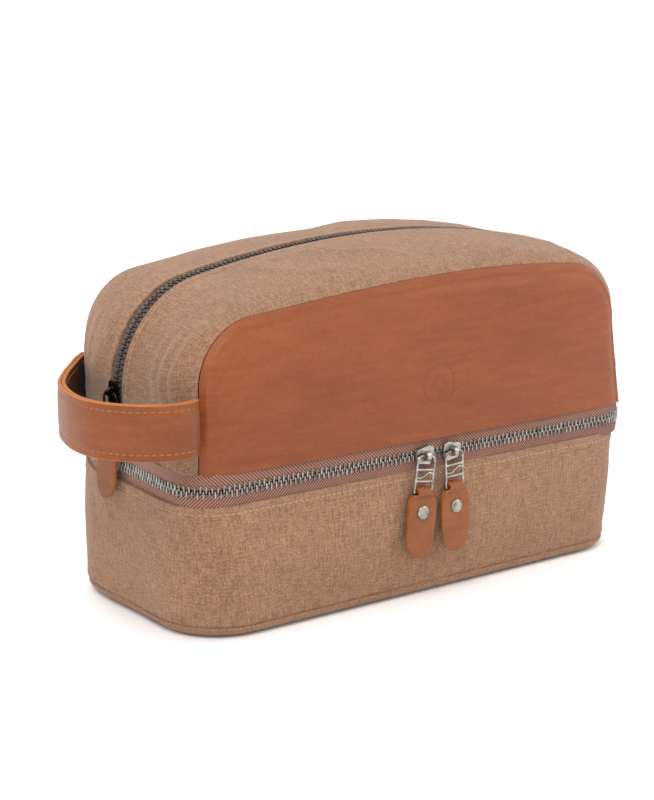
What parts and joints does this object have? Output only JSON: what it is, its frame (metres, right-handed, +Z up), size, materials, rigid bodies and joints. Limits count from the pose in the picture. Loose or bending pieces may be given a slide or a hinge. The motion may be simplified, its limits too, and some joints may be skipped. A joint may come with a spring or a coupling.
{
  "type": "shaving kit bag",
  "caption": "Soft canvas and leather kit bag: an open tray below, a zipped compartment that hinges back above it, and a leather strap handle on the left end.",
  "frame": {"origin": "centre of the flat canvas base, on the surface the bag stands on", "axes": "+Z up, +X along the bag's length away from the handle, -Y towards the leather front"},
  "size_m": [0.3154, 0.1534, 0.171],
  "materials": {
    "canvas": "waxed cotton canvas",
    "lining": "plain woven lining",
    "board": "stiffening board",
    "leather": "waxed pull-up leather",
    "strap_leather": "waxed leather, raw edges",
    "zip_tape": "twill tape",
    "antique_nickel": "antique nickel",
    "gunmetal": "dark gunmetal"
  },
  "bodies": {
    "tray": {"tray_base": "canvas", "base_board": "board", "tray_wall": "canvas", "tray_lining": "lining", "tray_zip_tape": "zip_tape", "tray_zip_teeth": "antique_nickel", "tray_hinge_strip": "canvas", "tray_zip_stop_left": "antique_nickel", "tray_zip_stop_right": "antique_nickel"},
    "compartment": {"lid_zip_tape": "zip_tape", "lid_zip_teeth": "antique_nickel", "lid_hinge_strip": "canvas", "front_panel": "leather", "rear_panel": "canvas", "front_gusset": "canvas", "rear_gusset": "canvas", "left_end_gusset": "canvas", "right_end_gusset": "canvas", "divider": "lining", "divider_board": "board", "front_lining": "lining", "rear_lining": "lining", "top_zip_front_tape": "zip_tape", "top_zip_rear_tape": "zip_tape", "top_zip_front_teeth": "gunmetal", "top_zip_rear_teeth": "gunmetal", "strap_outer": "strap_leather", "strap_inner": "strap_leather"},
    "left_slider": {"left_slider": "antique_nickel"},
    "left_pull": {"left_pull_frame": "antique_nickel"},
    "left_tab": {"left_pull_tab": "strap_leather", "left_pull_rivet": "antique_nickel"},
    "right_slider": {"right_slider": "antique_nickel"},
    "right_pull": {"right_pull_frame": "antique_nickel"},
    "right_tab": {"right_pull_tab": "strap_leather", "right_pull_rivet": "antique_nickel"},
    "top_slider": {"top_slider": "gunmetal"},
    "top_pull": {"top_pull_frame": "gunmetal"},
    "top_tab": {"top_pull_tab": "strap_leather", "top_pull_rivet": "antique_nickel"}
  },
  "joints": [
    {"name": "compartment_hinge", "type": "hinge", "parent": "tray", "child": "compartment", "pos_m": [0, 0.0736, 0.073], "axis": [-1, 0, 0], "range_deg": [0, 105]},
    {"name": "left_slider_travel", "type": "slide", "parent": "tray", "child": "left_slider", "axis": [-1, 0, 0], "range_m": [0, 0.098]},
    {"name": "left_pull_swing", "type": "hinge", "parent": "left_slider", "child": "left_pull", "pos_m": [-0.011, -0.0763, 0.073], "axis": [-0.9903, 0, 0.1392], "range_deg": [-2, 150]},
    {"name": "left_tab_swing", "type": "hinge", "parent": "left_pull", "child": "left_tab", "pos_m": [-0.01344, -0.0763, 0.05567], "axis": [-0.9903, 0, 0.1392], "range_deg": [-6, 60]},
    {"name": "right_slider_travel", "type": "slide", "parent": "tray", "child": "right_slider", "axis": [1, 0, 0], "range_m": [0, 0.098]},
    {"name": "right_pull_swing", "type": "hinge", "parent": "right_slider", "child": "right_pull", "pos_m": [0.006, -0.0763, 0.073], "axis": [-0.9994, 0, -0.0349], "range_deg": [-2, 150]},
    {"name": "right_tab_swing", "type": "hinge", "parent": "right_pull", "child": "right_tab", "pos_m": [0.00661, -0.0763, 0.05551], "axis": [-0.9994, 0, -0.0349], "range_deg": [-6, 60]},
    {"name": "top_slider_travel", "type": "hinge", "parent": "compartment", "child": "top_slider", "pos_m": [-0.082, 0, 0.107], "axis": [0, 1, 0], "range_deg": [0, 25]},
    {"name": "top_pull_swing", "type": "hinge", "parent": "top_slider", "child": "top_pull", "pos_m": [-0.1374, 0, 0.107], "axis": [0, 1, 0], "range_deg": [0, 40]},
    {"name": "top_tab_swing", "type": "hinge", "parent": "top_pull", "child": "top_tab", "pos_m": [-0.13862, 0, 0.08954], "axis": [0, 1, 0], "range_deg": [0, 50]}
  ]
}
